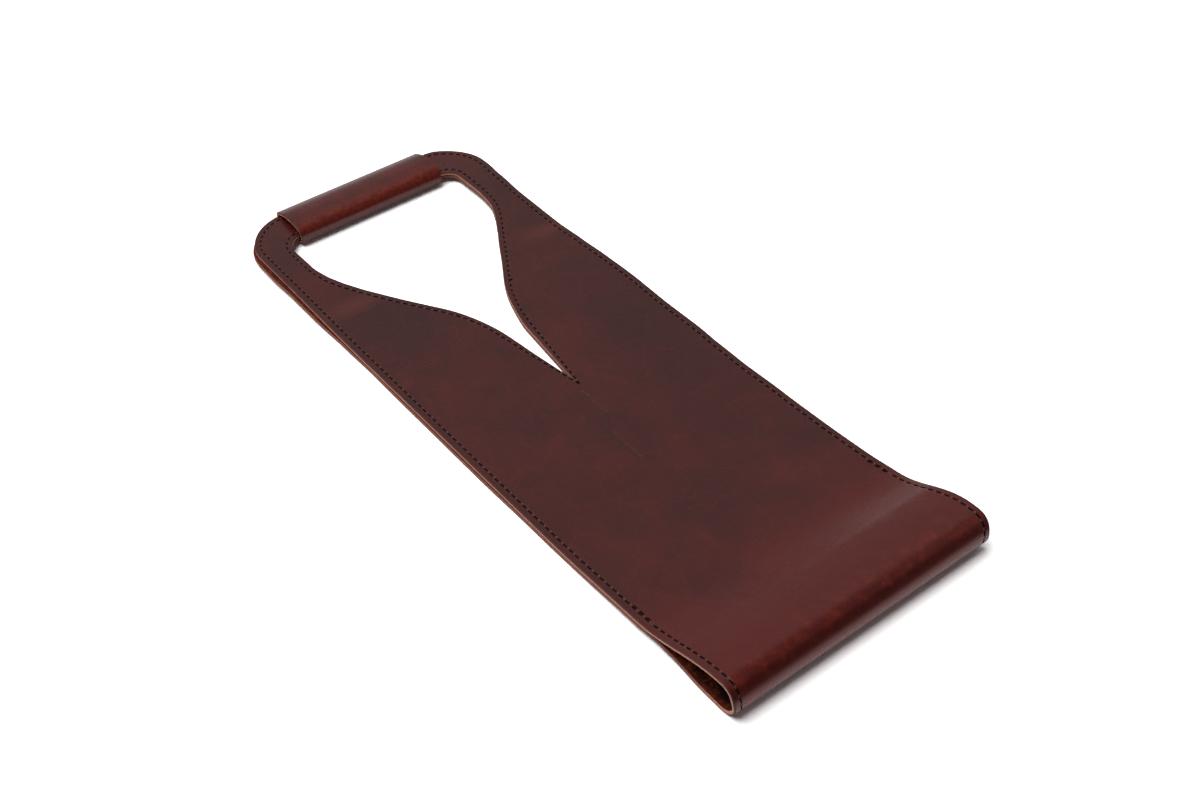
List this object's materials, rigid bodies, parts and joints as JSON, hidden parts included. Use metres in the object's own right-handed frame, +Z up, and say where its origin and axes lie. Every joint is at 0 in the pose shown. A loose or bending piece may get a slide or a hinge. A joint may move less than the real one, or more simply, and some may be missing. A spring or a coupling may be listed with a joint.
{
  "type": "bottle carrier",
  "caption": "Flat leather carrier for one bottle: a folded strip stitched along its sides, with a long V window, a handle bar and a loose rolled grip sleeve.",
  "frame": {"origin": "centre of the whole carrier's outline, on the table it lies on", "axes": "+X across the strip, +Y from the fold to the handle bar, +Z up from the table"},
  "size_m": [0.15, 0.4328, 0.019],
  "materials": {
    "strip_leather": "smooth waxed full-grain, dark red-brown, with burnished cut edges",
    "grip_leather": "glossy smooth full-grain, deep red-brown",
    "thread": "waxed twisted thread, dark brown"
  },
  "bodies": {
    "strip": {"leather_strip": "strip_leather", "seam_needle_thread": "thread", "seam_bobbin_thread": "thread", "front_window_needle_thread": "thread", "front_window_bobbin_thread": "thread", "back_window_needle_thread": "thread", "back_window_bobbin_thread": "thread", "left_fold_needle_thread": "thread", "left_fold_bobbin_thread": "thread", "right_fold_needle_thread": "thread", "right_fold_bobbin_thread": "thread"},
    "grip": {"grip_sleeve": "grip_leather"}
  },
  "joints": [
    {"name": "grip_slide", "type": "slide", "parent": "strip", "child": "grip", "axis": [1, 0, 0], "range_m": [-0.002, 0.002]}
  ]
}
